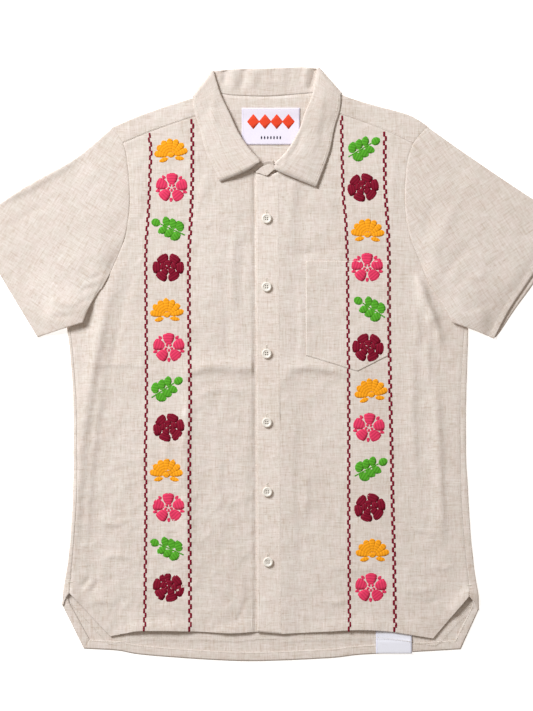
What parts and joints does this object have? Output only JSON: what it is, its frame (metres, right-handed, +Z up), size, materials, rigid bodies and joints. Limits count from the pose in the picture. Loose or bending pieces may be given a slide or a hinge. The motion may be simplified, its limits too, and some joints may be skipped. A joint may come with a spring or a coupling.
{
  "type": "short-sleeved shirt",
  "caption": "Short-sleeved linen guayabera shirt laid flat, with a turned-down collar, buttoned front band, chest pocket, side vents and longer back hem.",
  "frame": {"origin": "middle of the bounding box in X and Y, on the surface that the shirt lies on (Z = 0)", "axes": "+X to the wearer's left, +Y up the shirt to the collar, +Z up from the surface, out of the fronts"},
  "size_m": [0.7634, 0.7607, 0.009],
  "materials": {
    "linen": "slubby plain weave, matte",
    "label_cloth": "smooth woven, matte",
    "button": "dull polish"
  },
  "bodies": {
    "root": {"back_panel": "linen", "back_hem_facing": "linen", "yoke": "linen", "right_front": "linen", "left_front": "linen", "front_placket": "linen", "right_sleeve": "linen", "left_sleeve": "linen", "collar": "linen", "chest_pocket": "linen", "neck_label": "label_cloth", "hem_tab": "label_cloth", "button_1": "button", "button_2": "button", "button_3": "button", "button_4": "button", "button_5": "button", "button_6": "button"}
  },
  "joints": []
}
